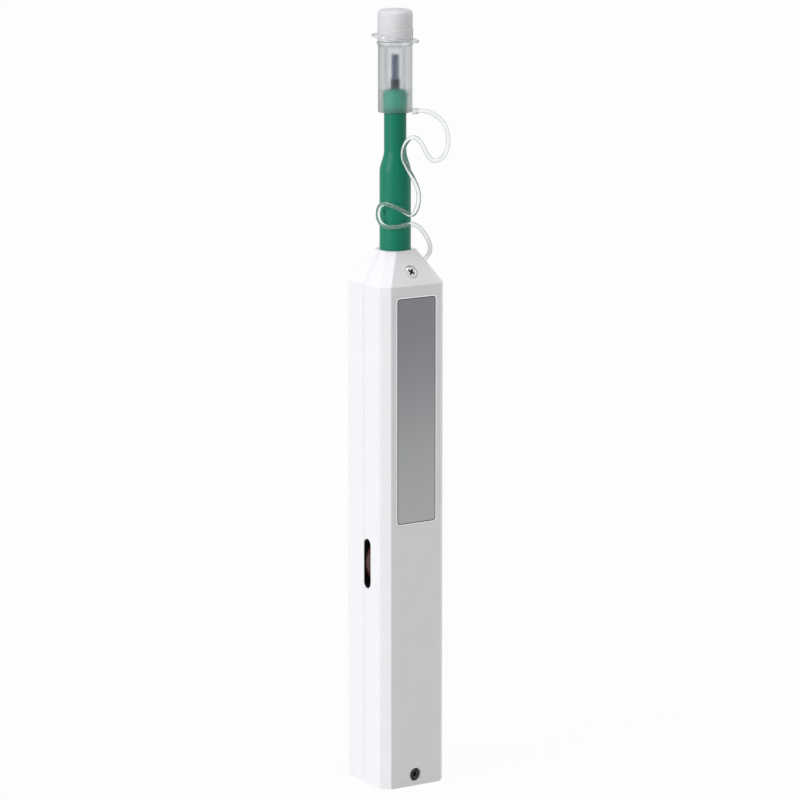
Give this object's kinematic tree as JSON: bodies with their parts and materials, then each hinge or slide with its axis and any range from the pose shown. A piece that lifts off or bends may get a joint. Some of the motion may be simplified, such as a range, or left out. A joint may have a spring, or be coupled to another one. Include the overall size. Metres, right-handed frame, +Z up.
{
  "type": "fibre connector cleaning pen",
  "caption": "Pen-shaped fibre connector cleaner: square white casing with a thumb-wheel slot, sliding green nozzle with a turning thread tip, clear guide cap, lid and tether cord.",
  "frame": {"origin": "middle of the base of the casing", "axes": "+Z up the pen from the base to the cap; the label faces -Y and the thumb wheel's slot -X"},
  "size_m": [0.0194, 0.018, 0.1878],
  "materials": {
    "casing_white": "smooth satin",
    "label_silver": "satin foil",
    "screw_steel": "plain",
    "inner_plastic": "plain",
    "cord_pale": "smooth",
    "reel_brown": "plain",
    "thread_white": "woven",
    "nozzle_green": "satin",
    "collar_dark": "plain",
    "tip_grey": "plain",
    "cap_frosted": "frosted, see-through",
    "lid_frosted": "frosted",
    "ring_clear": "clear"
  },
  "bodies": {
    "casing": {"rear_shell": "casing_white", "front_shell": "casing_white", "label_plate": "label_silver", "cover_screws": "screw_steel", "nozzle_guide": "inner_plastic", "take_up_axle": "screw_steel", "supply_axle": "screw_steel", "pinion_axle": "screw_steel", "cam_pin": "screw_steel", "ratchet_pawl": "inner_plastic", "brake_washer": "inner_plastic", "return_spring": "screw_steel", "tether_knot": "cord_pale", "tether_lower": "cord_pale"},
    "pinion": {"drive_pinion": "inner_plastic"},
    "take_up": {"take_up_reel": "reel_brown", "used_thread_pack": "thread_white"},
    "supply": {"supply_reel": "reel_brown", "clean_thread_pack": "thread_white"},
    "nozzle": {"slider_carriage": "inner_plastic", "nozzle_barrel": "nozzle_green", "tether_upper": "cord_pale"},
    "tip": {"tip_spindle": "screw_steel", "tip_collar": "collar_dark", "cleaning_tip": "tip_grey", "tip_thread": "thread_white"},
    "guide_cap": {"guide_cap": "cap_frosted"},
    "lid": {"cap_lid": "lid_frosted", "lid_ring": "ring_clear"}
  },
  "joints": [
    {"name": "nozzle_push", "type": "slide", "parent": "casing", "child": "nozzle", "axis": [0, 0, -1], "range_m": [0, 0.008], "stiffness_N_per_m": 400, "springref_m": -0.006, "deforming": ["return_spring", "tether_lower"]},
    {"name": "tip_spin", "type": "hinge", "parent": "nozzle", "child": "tip", "pos_m": [0, 0, 0.105], "axis": [0, 0, -1], "range_deg": [-5, 185]},
    {"name": "pinion_spin", "type": "hinge", "parent": "casing", "child": "pinion", "pos_m": [0.0018, 0.00225, 0.06204], "axis": [0, 1, 0], "range_deg": [-5, 160]},
    {"name": "take_up_spin", "type": "hinge", "parent": "casing", "child": "take_up", "pos_m": [-0.0016, 0, 0.0548], "axis": [0, 1, 0], "range_deg": [-95, 5]},
    {"name": "supply_spin", "type": "hinge", "parent": "casing", "child": "supply", "pos_m": [0, 0, 0.0305], "axis": [0, 1, 0], "range_deg": [-65, 5]},
    {"name": "cap_pull", "type": "slide", "parent": "nozzle", "child": "guide_cap", "axis": [0, 0, 1], "range_m": [0, 0.016], "deforming": ["tether_upper"]},
    {"name": "lid_pull", "type": "slide", "parent": "guide_cap", "child": "lid", "axis": [0, 0, 1], "range_m": [0, 0.008]}
  ],
  "couplings": [
    {"joint": "tip_spin", "follows": "nozzle_push", "rad_per_m": 392.7},
    {"joint": "pinion_spin", "follows": "nozzle_push", "rad_per_m": 333.33},
    {"joint": "take_up_spin", "follows": "nozzle_push", "rad_per_m": -200},
    {"joint": "supply_spin", "follows": "nozzle_push", "rad_per_m": -133.33}
  ]
}
